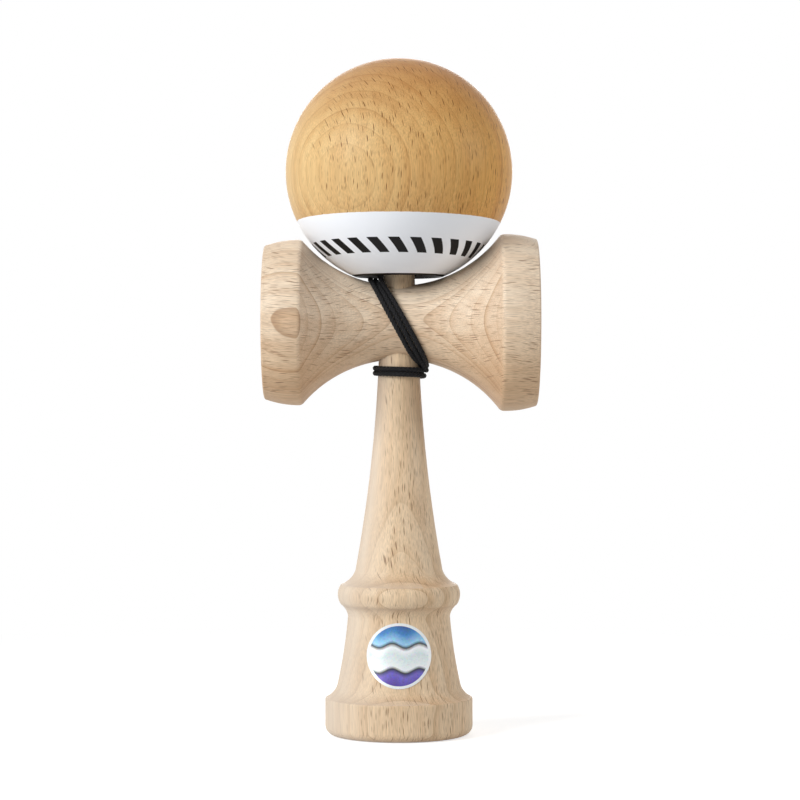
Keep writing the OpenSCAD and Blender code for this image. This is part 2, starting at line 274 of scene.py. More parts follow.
# %% [markdown]
# Now the stretches are joined. The lead comes out of the crosspiece's back and hangs down to the
# turns. Its upper points are counted from the waist's back and its lower ones from the turns. The tail
# leaves the last pass beside the spike. Its points are counted from the crosspiece, then from the
# spike's tip, and it ends straight through the bead to the knot in the crown.

# %% The whole route of the string
LEAD_HIGH = [
    (-3.5, -0.9, -3.4), (-3.5, 0.75, -3.85), (-3.4, 1.4, -5.4), (-3.1, 0.7, -8), (-2.7, -0.5, -10.6)
]
LEAD_LOW = [(-2, 0.1, 3.2), (-1.2, 0, 1.2)]
TAIL_LOW = [
    (-4.5, -5.4, 10.2), (-5.2, -4.5, 12.8), (-5.4, -3.9, 16), (-5.4, -3.3, 22), (-5.2, -2.8, 29)
]
TAIL_HIGH = [(-4.8, -2.2, -12), (-4.2, -1.8, -5), (-3, -1.2, 0.5), (-1, -0.4, 3)]
BELOW_BEAD = 0.7
TURN_STEPS = 240
PASS_STEP = 1.5
SAMPLE = 0.17
SOFTEN = 7
SOFTEN_ROUNDS = 2

lead = through(
    [(inner_knot.x, inner_flat_y, inner_knot.z)]
    + [(x, y + waist_r, z + cross_z) for x, y, z in LEAD_HIGH]
    + [(x, y + wrap_r + LEAD_ROOM, z + wrap_z) for x, y, z in LEAD_LOW]
)
tail = through(
    [(x, y, z + cross_z) for x, y, z in TAIL_LOW]
    + [(x, y, z + tip_z) for x, y, z in TAIL_HIGH]
    + [(0, 0, bead_z - bead_r - BELOW_BEAD), (0, 0, bead_z), (0, 0, crown_flat_z)]
)
wound = turns(np.arange(0, WRAP_TURNS, 1 / TURN_STEPS))
crossed = passes(np.arange(0, PASS_END, PASS_STEP))
route = even_steps(np.concatenate([lead, wound, crossed, tail]), SAMPLE)
for _ in range(SOFTEN_ROUNDS):
    route = softened(route, SOFTEN)
print("string, mm:", round(run_length(route), 1), "in", len(route), "steps")

# %% [markdown]
# A braid is eight yarns round a core. A curve object with a bevel could make one plain tube, but not
# yarns that go over and under, so the tubes are built point by point. Before yarns can circle the
# route, each point of it needs two directions square to it, and these are handed on from point to
# point without twist. A tube is then a row of rings, with four-sided faces from each ring to the next
# and a cap on either end.

# %% Frames and tubes
SLANTED = (0.3, 0.5, 0.8)


def carried_frames(line):
    """Two directions square to the line at each point, which follow its bends without twist."""
    way = np.gradient(line, axis=0)
    way /= np.linalg.norm(way, axis=1)[:, None]
    side = np.zeros_like(way)
    spoke = np.cross(way[0], SLANTED)
    for i, w in enumerate(way):
        spoke = spoke - spoke.dot(w) * w
        spoke /= np.linalg.norm(spoke)
        side[i] = spoke
    return side, np.cross(way, side)


def tube_faces(rings, sides, first):
    """Faces of a closed tube whose points come ring by ring, with the number of its first point."""
    ring, k = np.meshgrid(np.arange(rings - 1), np.arange(sides), indexing="ij")
    a = first + ring * sides + k
    b = first + ring * sides + (k + 1) % sides
    walls = np.stack([a, b, b + sides, a + sides], axis=-1).reshape(-1, 4).tolist()
    start = [first + k for k in range(sides)]
    end = [first + (rings - 1) * sides + k for k in range(sides)]
    return walls + [start[::-1], end]


print("faces of a tube of 3 rings with 6 sides:", len(tube_faces(3, 6, 0)))

# %% [markdown]
# Four yarns wind one way and four the other way, and each goes over and under in turn. A plain tube
# with a bump map would look smooth from close by, so the yarns are real geometry: a yarn circles the
# route at an angle that grows with the distance along it, and its radius swings in and out once for
# every two crossings. Its section is a flat oval. All its sizes are shares of the string's thickness.

# %% Braid
YARNS_EACH_WAY = 4
YARN_SIDES = 6
BRAID_PITCH = 4.4
CORE_SHARE = 0.56
YARN_MIDDLE = 0.325
YARN_SWING = 0.075
YARN_FLAT = 0.1
YARN_WIDE = 0.195


def braid(line, thick, start=0.0):
    """Points and faces of a braided string along a line, with the braid begun so far along it."""
    side, up = carried_frames(line)
    turn = 2 * np.pi * (start + distances(line)) / (BRAID_PITCH * thick / string_d)
    around = (2 * np.pi * np.arange(YARN_SIDES) / YARN_SIDES)[:, None]
    points, faces = [], []
    for hand in (1, -1):
        radius = thick * (YARN_MIDDLE + hand * YARN_SWING * np.cos(YARNS_EACH_WAY * turn))
        for yarn in range(YARNS_EACH_WAY):
            angle = (hand * turn + 2 * np.pi * yarn / YARNS_EACH_WAY)[:, None]
            out = np.cos(angle) * side + np.sin(angle) * up
            centre = line + radius[:, None] * out
            across = np.cross(np.gradient(centre, axis=0), out)
            across /= np.linalg.norm(across, axis=1)[:, None]
            rings = centre[:, None] + thick * YARN_FLAT * np.cos(around) * out[:, None]
            points.append(rings + thick * YARN_WIDE * np.sin(around) * across[:, None])
    core = np.cos(around) * side[:, None] + np.sin(around) * up[:, None]
    points.append(line[:, None] + CORE_SHARE * thick / 2 * core)
    for tube in range(len(points)):
        faces += tube_faces(len(line), YARN_SIDES, tube * len(line) * YARN_SIDES)
    return np.concatenate([rings.reshape(-1, 3) for rings in points]), faces


print("yarns:", 2 * YARNS_EACH_WAY, "with", YARN_SIDES, "sides")

# %% [markdown]
# The string crosses two joints: the crosspiece slides up off the handle, and the ball lifts off the
# spike. One long mesh could be bent over both, but three lengths that meet end to end are simpler:
# the turns round the handle, the passes, which ride on the crosspiece, and the tail, which climbs to
# the ball. Each length begins its braid at its own distance along the route. The yarns needn't meet
# exactly at the cuts, because the braid is so fine that a small step doesn't show.

# %% Three lengths of string
TURNS_UNTIL = 60


def new_piece(name, points, faces):
    """A smooth mesh object from points in millimetres."""
    mesh = bpy.data.meshes.new(name)
    mesh.from_pydata((points * MM).tolist(), [], faces)
    mesh.shade_smooth()
    mesh.update()
    piece = bpy.data.objects.new(name, mesh)
    scene.collection.objects.link(piece)
    return piece


def nearest_step(point):
    return int(np.linalg.norm(route - point, axis=1).argmin())


first_pass = passes(np.array([float(TURNS_UNTIL)]))[0]
cuts = [0, nearest_step(first_pass), nearest_step(crossed[-1]), len(route) - 1]
string_lengths = {}
for name, first, last in zip(("string_turns", "string_passes", "string_climb"), cuts, cuts[1:]):
    line = route[first : last + 1]
    piece = new_piece(name, *braid(line, string_d, start=first * SAMPLE))
    string_lengths[name] = (piece, line)
    print(name, "mm:", round(run_length(line), 1))

# %% [markdown]
# Both ends of the string are stopped by overhand knots: one in a pocket inside the crosspiece, one in
# a recess on top of the ball. An overhand knot pulled tight is a trefoil, and a trefoil has a short
# formula, so the knots are braided along it in the space that their CAD solids hold. The formula's
# loop is flatter than a tight knot, so its height is stretched.

# %% Knots
KNOT_STEPS = 160
TREFOIL_REACH = 3
TREFOIL_FLATNESS = 0.425
INNER_KNOT_STRING = 0.8
CROWN_KNOT_STRING = 1.1


def overhand_knot(name, thick):
    """A braided trefoil that fills the box of its CAD solid."""
    low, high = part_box(name)
    centre = np.array((low + high) / 2) / MM
    half = max(high - low) / 2 / MM
    t = np.linspace(0, 2 * np.pi, KNOT_STEPS)
    x = np.sin(t) + 2 * np.sin(2 * t)
    y = np.cos(t) - 2 * np.cos(2 * t)
    z = -np.sin(3 * t) / TREFOIL_FLATNESS
    loop = np.stack([x, y, z], axis=1) * (half - thick / 2) / TREFOIL_REACH
    knot = new_piece(name + "_tied", *braid(even_steps(loop + centre, SAMPLE), thick))
    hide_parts(name)
    return knot


inner_tied = overhand_knot("sarado_knot", INNER_KNOT_STRING)
crown_tied = overhand_knot("crown_knot", CROWN_KNOT_STRING)
print("knots:", inner_tied.name, crown_tied.name)

# %% [markdown]
# Each length now rides where it belongs: the passes and the inner knot go with the crosspiece, the
# crown knot with the string's end, and the turns and the climb stay where they were built. The CAD
# solids of the string are hidden, since the braided lengths stand in their place.


def declare_string(name, node):
    piece, line = string_lengths[name]
    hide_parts(node)
    return piece


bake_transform(string_lengths["string_turns"][0])
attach(string_lengths["string_passes"][0], "crosspiece")
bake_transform(string_lengths["string_climb"][0])
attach(inner_tied, "crosspiece")
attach(crown_tied, "string_end")
string_pieces = [
    declare_string("string_turns", "string_winding"),
    declare_string("string_passes", "string_winding"),
    declare_string("string_climb", "string_tail"),
]
whole = sum(run_length(line) for _, line in string_lengths.values())
print("string in all, m:", round(whole * MM, 3))

# %% [markdown]
# A material is a small graph of nodes. A few helpers keep the graphs readable. One adds a node and
# links or sets its inputs by name, one starts an empty material, and one ends it with Blender's
# general shader. Colours are written as the eye sees them, from 0 to 255, and turned into the linear
# values that the renderer works with.

# %% Nodes and materials
def linear(red, green, blue):
    """Linear colour, with alpha, from a colour as a screen shows it."""
    shares = np.array([red, green, blue]) / 255
    values = np.where(shares <= 0.04045, shares / 12.92, ((shares + 0.055) / 1.055) ** 2.4)
    return (*values.tolist(), 1.0)


def fill(tree, sockets, values):
    for socket, value in zip(sockets, values):
        if isinstance(value, bpy.types.NodeSocket):
            tree.links.new(value, socket)
        else:
            socket.default_value = value


def add(tree, kind, settings=None, **inputs):
    """A new shader node. Inputs are named as in Blender, with _ for a space."""
    node = tree.nodes.new("ShaderNode" + kind)
    for name, value in (settings or {}).items():
        setattr(node, name, value)
    fill(tree, [node.inputs[name.replace("_", " ")] for name in inputs], inputs.values())
    return node


def new_material(name):
    material = bpy.data.materials.new(name)
    material.use_nodes = True
    material.node_tree.nodes.clear()
    return material, material.node_tree


def surface(tree, **inputs):
    """The Principled shader and the output of a material."""
    shader = add(tree, "BsdfPrincipled", **inputs)
    add(tree, "OutputMaterial", Surface=shader.outputs[0])


print("a mid grey of 128 is", round(linear(128, 128, 128)[0], 3))

# %% [markdown]
# The rest of the helpers each add one step of a calculation: a sum, a soft step from 0 to 1, a mix of
# two colours, some noise. The place on a piece comes from Object coordinates, which stay with the
# piece when it moves, and is turned into millimetres, so that every size below can be read as one.

# %% Sums in nodes
def calc(tree, operation, *values):
    """One sum of numbers."""
    node = add(tree, "Math", {"operation": operation})
    fill(tree, node.inputs, values)
    return node.outputs[0]


def calc_vector(tree, operation, *values):
    """One sum of vectors. Its result is a number for a length or a dot product."""
    node = add(tree, "VectorMath", {"operation": operation})
    fill(tree, node.inputs, values)
    return node.outputs["Value" if operation in ("LENGTH", "DOT_PRODUCT") else "Vector"]


def rise(tree, value, low, high):
    """0 below low and 1 above high, or the other way round, with a soft step between."""
    settings = {"interpolation_type": "SMOOTHSTEP"}
    return add(tree, "MapRange", settings, Value=value, From_Min=low, From_Max=high).outputs[0]


def mixed(tree, share, first, second, blend_type="MIX"):
    """One colour laid over another."""
    node = add(tree, "Mix", {"data_type": "RGBA", "blend_type": blend_type})
    fill(tree, (node.inputs[0], node.inputs[6], node.inputs[7]), (share, first, second))
    return node.outputs[2]


def noise(tree, place, scale, detail):
    """Cloudy noise, as a number round 0.5."""
    return add(tree, "TexNoise", Vector=place, Scale=scale, Detail=detail).outputs[0]


def from_point(tree, x, y, z):
    """Place on the piece in millimetres, from the given point."""
    at = add(tree, "TexCoord").outputs["Object"]
    return calc_vector(tree, "MULTIPLY_ADD", at, (1 / MM, 1 / MM, 1 / MM), (-x, -y, -z))


def off_axis(tree, place, across):
    """Distance from an axis, with 1 for each direction square to it."""
    return calc_vector(tree, "LENGTH", calc_vector(tree, "MULTIPLY", place, across))


print("one Blender unit is", round(1 / MM), "mm")

# %% [markdown]
# Beech shows three things: growth rings, short dark rays and fine fibres. A picture wrapped round the
# shape would run wrongly over the rims, so the wood is made as a solid, the way it grew. Rays come
# first. They are thin plates that stand out from the pith: about five millimetres deep, three along
# the grain, and a quarter of a millimetre thick. Cells of a Voronoi texture, stretched to that shape,
# scatter them, and a random number for each cell makes some paler than others.

# %% Rays
RAY_DEPTH = 5.0
RAY_THICK = 0.26
RAY_ROOM = 1.6
RAY_EDGE = (1.0, 0.4)
RAY_CHANCE = (-0.3, 0.9)


def scattered_rays(tree, size, spread, length, thick):
    """Thin plates with round ends, one in each cell, some darker than others."""
    at = calc_vector(tree, "DIVIDE", size, (RAY_DEPTH, spread, RAY_ROOM * length))
    cell = add(tree, "TexVoronoi", Vector=at, Scale=1.0, Randomness=1.0)
    off_middle = calc_vector(tree, "SUBTRACT", at, cell.outputs["Position"])
    off_middle = calc_vector(tree, "MULTIPLY", off_middle, (2, 2 * spread / thick, 2 * RAY_ROOM))
    plate = rise(tree, calc_vector(tree, "LENGTH", off_middle), *RAY_EDGE)
    chance = add(tree, "SeparateColor", Color=cell.outputs["Color"]).outputs[0]
    return calc(tree, "MULTIPLY", plate, rise(tree, chance, *RAY_CHANCE))


print("rays are", RAY_DEPTH, "mm deep and", RAY_THICK, "mm thick")

# %% [markdown]
# Rings are cylinders round the pith, which lies beside the piece. The distance from the pith, counted
# in years, has a whole part, which is the year, and a fraction, which is the season. The wood darkens
# towards the end of a season and closes with a thin line. Noise makes the years uneven and the
# cylinders wander, as in a real trunk. The grain runs along Z here.

# %% Rings
WANDER_SCALE = 0.025
WANDER = (6, 6, 0)
RIPPLE_SCALE = 0.2
RIPPLE = (0.25, 0.25, 0)
UNEVEN_YEARS = 1.8
UNEVEN_SCALE = 0.6
WEAKEST_YEAR = 0.3
LATE_FROM = 0.2
LINE_FROM = 0.84
YEAR_END = 0.97


def wandering(tree, place):
    """The place, bent as the trunk grew."""
    wander = add(tree, "TexNoise", Vector=place, Scale=WANDER_SCALE, Detail=1.5).outputs["Color"]
    ripple = add(tree, "TexNoise", Vector=place, Scale=RIPPLE_SCALE, Detail=1.0).outputs["Color"]
    bent = calc_vector(tree, "MULTIPLY_ADD", wander, WANDER, place)
    return calc_vector(tree, "MULTIPLY_ADD", ripple, RIPPLE, bent)


def growth_rings(tree, radius, ring_width):
    """Latewood and the line that ends a year, each from 0 to 1 and stronger in some years."""
    years = calc(tree, "DIVIDE", radius, ring_width)
    settings = {"noise_dimensions": "1D"}
    uneven = add(tree, "TexNoise", settings, W=years, Scale=UNEVEN_SCALE, Detail=1.0).outputs[0]
    years = calc(tree, "MULTIPLY_ADD", uneven, UNEVEN_YEARS, years)
    season = calc(tree, "FRACT", years)
    year_end = rise(tree, season, 1.0, YEAR_END)
    late = calc(tree, "MULTIPLY", rise(tree, season, LATE_FROM, 1.0), year_end)
    line = calc(tree, "MULTIPLY", rise(tree, season, LINE_FROM, YEAR_END), year_end)
    chance = add(tree, "TexWhiteNoise", settings, W=calc(tree, "FLOOR", years)).outputs[0]
    strength = calc(tree, "MULTIPLY_ADD", chance, 1 - WEAKEST_YEAR, WEAKEST_YEAR)
    return calc(tree, "MULTIPLY", late, strength), calc(tree, "MULTIPLY", line, strength)


print("a year's line takes the last", round(1 - LINE_FROM, 2), "of its ring")

# %% [markdown]
# Now the whole figure: rings, strong and fine rays, fibres and a slow change of tone, all in the
# wandering coordinates of one trunk. Distance and angle round the pith set where the rays are. A ray
# turn lets the plates stand at an angle to the line from the pith, for a piece whose dashes and rings
# couldn't both be placed otherwise.

# %% Figure of beech
FINE_SPREAD = 0.5
FINE_LENGTH = 0.7
FINE_THICK = 0.65
FIBRE_SCALE = (4.5, 4.5, 0.14)
TONE_SCALE = (0.3, 0.3, 0.035)


def wood_place(tree, pith, turn):
    """Coordinates in millimetres with the grain along Z and the pith at the origin."""
    turned = add(tree, "Mapping", Vector=from_point(tree, *pith))
    turned.inputs["Rotation"].default_value = [math.radians(a) for a in turn]
    return turned.outputs[0]


def beech_figure(tree, place, pith_distance, ring_width, ray_spread, ray_length, ray_turn=0):
    """Sockets for latewood, ring lines, rays, fine rays, fibres and slow tone, each from 0 to 1."""
    bent = wandering(tree, place)
    x, y, along = add(tree, "SeparateXYZ", Vector=bent).outputs
    radius = off_axis(tree, bent, (1, 1, 0))
    late, line = growth_rings(tree, radius, ring_width)
    round_pith = calc(tree, "MULTIPLY", calc(tree, "ARCTAN2", y, x), pith_distance)
    size = add(tree, "CombineXYZ", X=radius, Y=round_pith, Z=along).outputs[0]
    size = add(tree, "VectorRotate", {"rotation_type": "Z_AXIS"}, Vector=size,
               Angle=math.radians(-ray_turn)).outputs[0]
    return {
        "late": late,
        "line": line,
        "strong": scattered_rays(tree, size, ray_spread, ray_length, RAY_THICK),
        "fine": scattered_rays(tree, size, ray_spread * FINE_SPREAD, ray_length * FINE_LENGTH,
                               RAY_THICK * FINE_THICK),
        "fibre": noise(tree, calc_vector(tree, "MULTIPLY", bent, FIBRE_SCALE), 1.0, 2.0),
        "tone": noise(tree, calc_vector(tree, "MULTIPLY", bent, TONE_SCALE), 1.0, 3.0),
    }


print("fine rays are", round(RAY_THICK * FINE_THICK, 2), "mm thick")

# %% [markdown]
# The figure is coloured from pale wood to deep wood, with the dark of the rays on top. Where the
# surface cuts across the plates, they show as the dashes that beech is known by. Where they lie flat
# in the surface, they would be wide blots, so the dot product of the surface direction and the open
# way, in which the dashes show best, sets their strength. In the same way, faces that look along the
# grain are darker, because the open fibres there drink up light.

# %% Colour and relief of wood
TONE_RANGE = (0.25, 0.75)
TONE_SHARE = 0.4
LINE_SHARE = 0.6
FINE_SHARE = 0.55
STREAK_RANGE = 0.7
STREAK_LOW = 0.65
RAY_GROOVE = -0.6
BUMP = 0.5


def facing(tree, way):
    """1 where the surface looks along the given direction, 0 square to it, -1 against it."""
    return calc_vector(tree, "DOT_PRODUCT", add(tree, "TexCoord").outputs["Normal"], way)


def looks_along(tree, way):
    """1 where the surface looks along the given direction or against it, 0 where it is square to it."""
    return calc(tree, "ABSOLUTE", facing(tree, way))


def wood_colour(tree, figure, grain, open_way, fade, colours, ray_strength, ring_strength, end_grain):
    """Colour of the wood from its figure and the colours of its pale wood, deep wood and rays."""
    pale, deep, ray = colours
    tone = rise(tree, figure["tone"], *TONE_RANGE)
    late = calc(tree, "MULTIPLY", figure["late"], ring_strength)
    colour = mixed(tree, calc(tree, "MULTIPLY_ADD", tone, TONE_SHARE, late), pale, deep)
    line = calc(tree, "MULTIPLY", calc(tree, "MULTIPLY", figure["line"], LINE_SHARE), ring_strength)
    colour = mixed(tree, line, colour, ray)
    cut = rise(tree, looks_along(tree, open_way), *fade)
    for rays, share in (("fine", ray_strength * FINE_SHARE), ("strong", ray_strength)):
        shown = calc(tree, "MULTIPLY", calc(tree, "MULTIPLY", figure[rays], cut), share)
        colour = mixed(tree, shown, colour, ray)
    streak = calc(tree, "MULTIPLY_ADD", figure["fibre"], STREAK_RANGE, STREAK_LOW)
    colour = mixed(tree, 1.0, colour, streak, "MULTIPLY")
    first, last, end_shade = end_grain
    ends = rise(tree, looks_along(tree, grain), first, last)
    return mixed(tree, calc(tree, "MULTIPLY", ends, end_shade), colour, deep, "MULTIPLY")


def wood_relief(tree, figure, depth):
    """Bump from fibres and rays, with its depth in millimetres."""
    height = calc(tree, "MULTIPLY_ADD", figure["strong"], RAY_GROOVE, figure["fibre"])
    return add(tree, "Bump", Height=height, Strength=BUMP, Distance=depth * MM).outputs[0]


print("streaks go from", STREAK_LOW, "to", round(STREAK_LOW + STREAK_RANGE, 2), "times the colour")

# %% [markdown]
# Raw beech is sanded and not lacquered, so it is matt with a faint sheen. Real pieces aren't of one
# tone, and some light and shade is painted in as well. One side of the handle is paler, partly from
# flat rays and partly as a painted sheen on the side that the large lamp lights. The crosspiece is
# darker and warmer below and paler above, which is painted shade and painted light, its rings stop
# short of the large cup's outer band, and the floors of its cups are darkened with painted shade. Each
# of these is a soft step on a place or a direction, and a piece that lacks one leaves its number at the
# plain value.

# %% Raw beech
PLAIN = (1.0, 1.0, 1.0, 1.0)
# Heights over which the crosspiece goes from painted shade below to painted light above.
LIGHT_AND_SHADE_HEIGHTS = (-20, 10)
# A pale colour for flat rays, also used as a painted sheen on the side that the large lamp lights.
FLAT_RAYS_AND_SHEEN = linear(218, 208, 196)
FLAT_FROM = 0.9
RING_FADE = 2
CUP_WALL = (20, 18)
CUP_FLOOR = (24, 28)
CUP_MIDDLE = (19.5, 4)
SANDED_ROUGH = (0.16, 0.48)


def flat_rays_and_sheen_side(tree, open_way):
    """1 where the plates lie flat in the surface, on the side that faces the large lamp, where a
    painted sheen goes.
    """
    flat = rise(tree, looks_along(tree, open_way), FLAT_FROM, 0.0)
    lit_way = (open_way[1], -open_way[0], 0)
    return calc(tree, "MULTIPLY", flat, calc(tree, "GREATER_THAN", facing(tree, lit_way), 0))


def raw_beech(name, colours, pith, turn, grain, open_way, ray_spread, ray_length, ring_strength,
              ray_turn=0, rings_until=99, pale_side=0.0, shade_tint_below=PLAIN, light_tint_above=PLAIN, cup_shade=0.0):
    material, tree = new_material(name)
    figure = beech_figure(tree, wood_place(tree, pith, turn), pith_distance=60, ring_width=2.7,
                          ray_spread=ray_spread, ray_length=ray_length, ray_turn=ray_turn)
    at = from_point(tree, 0, 0, cross_z)
    x, _, z = add(tree, "SeparateXYZ", Vector=at).outputs
    from_axis = off_axis(tree, at, (0, 1, 1))
    before_band = rise(tree, x, rings_until + RING_FADE, rings_until)
    ringed = calc(tree, "MAXIMUM", before_band, rise(tree, from_axis, *CUP_WALL))
    colour = wood_colour(tree, figure, grain, open_way, fade=(0.2, 0.75), colours=colours,
                         ray_strength=0.82, ring_strength=calc(tree, "MULTIPLY", ringed, ring_strength),
                         end_grain=(0.35, 1.0, 0.3))
    # The pale side is partly flat rays and partly a painted sheen where the large lamp falls.
    pale = calc(tree, "MULTIPLY", flat_rays_and_sheen_side(tree, open_way), pale_side)
    colour = mixed(tree, pale, colour, FLAT_RAYS_AND_SHEEN)
    # Painted shade and light: darker and warmer below, paler above, as light falls from above.
    tint = mixed(tree, rise(tree, z, *LIGHT_AND_SHADE_HEIGHTS), shade_tint_below, light_tint_above)
    colour = mixed(tree, 1.0, colour, tint, "MULTIPLY")
    # Painted shade in the hollows of the cups, darker towards their floors.
    deep_in = rise(tree, calc(tree, "ABSOLUTE", x), *CUP_FLOOR)
    in_cups = calc(tree, "MULTIPLY", deep_in, rise(tree, from_axis, *CUP_MIDDLE))
    colour = mixed(tree, calc(tree, "MULTIPLY", in_cups, cup_shade), colour, colours[1], "MULTIPLY")
    rough = calc(tree, "MULTIPLY_ADD", figure["fibre"], *SANDED_ROUGH)
    surface(tree, Base_Color=colour, Roughness=rough, Normal=wood_relief(tree, figure, depth=0.03),
            Specular_IOR_Level=0.3, Sheen_Weight=0.1, Sheen_Roughness=0.5)
    return material


print("the tint of the crosspiece changes over", LIGHT_AND_SHADE_HEIGHTS[1] - LIGHT_AND_SHADE_HEIGHTS[0], "mm")

# %% [markdown]
# Three pieces are of raw beech. They differ in where the pith lay, which way the grain runs, and in
# colour. The handle's pith lies behind it and the grain runs up. The crosspiece's pith lies before it
# and the grain runs from cup to cup. The bead is small and hidden, and gets the same wood in a
# yellower tone.

# %% Woods of handle, crosspiece and bead
UP = (0, 0, 1)
ACROSS = (1, 0, 0)
FRONT = (0, -1, 0)
BEECH = (linear(227, 203, 171), linear(199, 163, 122), linear(118, 80, 48))
PINK_BEECH = (linear(227, 205, 178), linear(196, 160, 124), linear(120, 80, 50))
BEAD_BEECH = (linear(222, 186, 140), linear(190, 146, 98), linear(112, 76, 46))

# The handle's pale side is partly flat rays and partly a painted sheen on its lit side.
handle_wood = raw_beech(
    "raw_beech", BEECH, pith=(0, 62.6, 0), turn=(0, 0, 90), grain=UP, open_way=(0.42, -0.91, 0),
    ray_spread=0.6, ray_length=3.2, ring_strength=0.42, ray_turn=25, pale_side=0.55,
)
# Tints by height add painted shade below and painted light above, and the cups get painted shade.
cross_wood = raw_beech(
    "raw_beech_crosspiece", PINK_BEECH, pith=(0, -65.5, cross_z + 2), turn=(90, -92.3, 180),
    grain=ACROSS, open_way=FRONT, ray_spread=0.48, ray_length=3.4, ring_strength=0.62,
    rings_until=25.5, shade_tint_below=(0.88, 0.78, 0.66, 1), light_tint_above=(1.08, 1.15, 1.23, 1), cup_shade=0.5,
)
bead_wood = raw_beech(
    "bead_wood", BEAD_BEECH, pith=(0, 30, bead_z), turn=(0, 0, 90), grain=UP, open_way=FRONT,
    ray_spread=1.0, ray_length=2.6, ring_strength=0.4,
)
print("woods:", handle_wood.name, cross_wood.name, bead_wood.name)

# %% [markdown]
# The lower part of the ball is dipped in white paint, and a ring of plain slanted dashes decorates
# it. The dashes could be cut from the mesh, but they are print, with no height of their own. Counting
# round the axis by angle keeps them even: the fraction of the count is the place within one dash, and
# adding some of the height to the count slants them.

# %% Ring of dashes
mouth_r = 11.5
ball_low, ball_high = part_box("tama")
ball_r = (ball_high.x - ball_low.x) / 2 / MM
ball_z = ball_low.z / MM + math.sqrt(ball_r**2 - mouth_r**2)
RING_LINE = -21.2
RING_HEIGHT = 3.6
RING_EDGE = (0.51, 0.49)
DASHES = 26
DASH_SLANT = 0.5
DASH_SHARE = 0.52
DASH_EDGE = 0.015


def ring_of_dashes(tree, x, y, height):
    """1 on the dashes, 0 between them."""
    round_share = calc(tree, "DIVIDE", calc(tree, "ARCTAN2", y, x), 2 * math.pi)
    up_ring = calc(tree, "DIVIDE", calc(tree, "SUBTRACT", height, RING_LINE), RING_HEIGHT)
    slanted = calc(tree, "MULTIPLY_ADD", up_ring, DASH_SLANT, DASHES)
    dash = calc(tree, "FRACT", calc(tree, "MULTIPLY_ADD", round_share, DASHES, slanted))
    off_middle = calc(tree, "ABSOLUTE", calc(tree, "SUBTRACT", dash, 0.5))
    wide = rise(tree, off_middle, DASH_SHARE / 2 + DASH_EDGE, DASH_SHARE / 2 - DASH_EDGE)
    return calc(tree, "MULTIPLY", wide, rise(tree, calc(tree, "ABSOLUTE", up_ring), *RING_EDGE))


print("ball radius", round(ball_r, 2), "centre", round(ball_z, 2), "dashes", DASHES)

# %% [markdown]
# Above the paint the ball is the same beech under clear lacquer, which makes it warmer and gives it a
# satin gloss. It is paler on its left, where the large lamp falls, and warmer and deeper on its right:
# a painted sheen on the lit side and painted shade on the other. Its pith lies far off, before it and
# to the left. The surface that looks that way only grazes the rings, so they show there as wide ovals.

# %% Lacquered wood
FROM_PITH = (0.467, 0.884, 0)
PITH_AWAY = 150
HONEY_BEECH = (linear(228, 187, 128), linear(204, 152, 93), linear(104, 56, 16))
# Tints across the ball: a painted sheen on its lit left and painted shade on its right.
LIT_SIDE_TINT = (0.92, 1.01, 1.12, 1.0)
SHADED_SIDE_TINT = (0.93, 0.78, 0.49, 1.0)
SHEEN_TINT_UNTIL = -0.6
SHADE_TINT_FROM = 1.1


def lacquered_wood(tree, x):
    """Colour and figure of the ball's wood, for the sideways place on the ball."""
    pith = (-FROM_PITH[0] * PITH_AWAY, -FROM_PITH[1] * PITH_AWAY, ball_z)
    figure = beech_figure(tree, wood_place(tree, pith, turn=(-6, 3, 0)), pith_distance=PITH_AWAY,
                          ring_width=2.4, ray_spread=0.95, ray_length=2.6, ray_turn=51)
    # The ball's end grain is darkened more than raw wood's: partly its own colour, partly painted shade
    # on its top.
    wood = wood_colour(tree, figure, grain=UP, open_way=(0.4, -0.92, 0), fade=(0.05, 0.6),
                       colours=HONEY_BEECH, ray_strength=1.0, ring_strength=0.36,
                       end_grain=(0.15, 1.0, 0.55))
    # Painted sheen towards the lit left, painted shade towards the right.
    across = rise(tree, x, SHEEN_TINT_UNTIL * ball_r, SHADE_TINT_FROM * ball_r)
    tint = mixed(tree, across, LIT_SIDE_TINT, SHADED_SIDE_TINT)
    return mixed(tree, 1.0, wood, tint, "MULTIPLY"), figure


print("ball's pith is", PITH_AWAY, "mm away")

# %% [markdown]
# The drilled hole has no paint. Its shade is painted in: brown inside, and near black at its mouth and
# its rim. Its faces could have a material of their own, but a material that goes by place needs no
# choice of faces. How deep a point lies under the ball's round outside shows whether it is in the hole,
# and the distance from the axis tells the mouth from the paint round it.

# %% The drilled hole
# Painted shade for the inside of the drilled hole and for its mouth.
HOLE_SHADE_BROWN = linear(96, 66, 42)
HOLE_SHADE_SHARE = 0.85
HOLE_SHADE_SKIN = (0.1, 0.7)
MOUTH_SHADE = (linear(10, 9, 8), linear(40, 31, 25))
MOUTH_SHADE_R = 12.4
MOUTH_EDGE = 0.1
MOUTH_HEIGHTS = (0, -2)


def outside_mouth(tree, at):
    """1 further from the axis than the rim of painted shade round the mouth, 0 within it."""
    return rise(tree, off_axis(tree, at, (1, 1, 0)), MOUTH_SHADE_R, MOUTH_SHADE_R + MOUTH_EDGE)


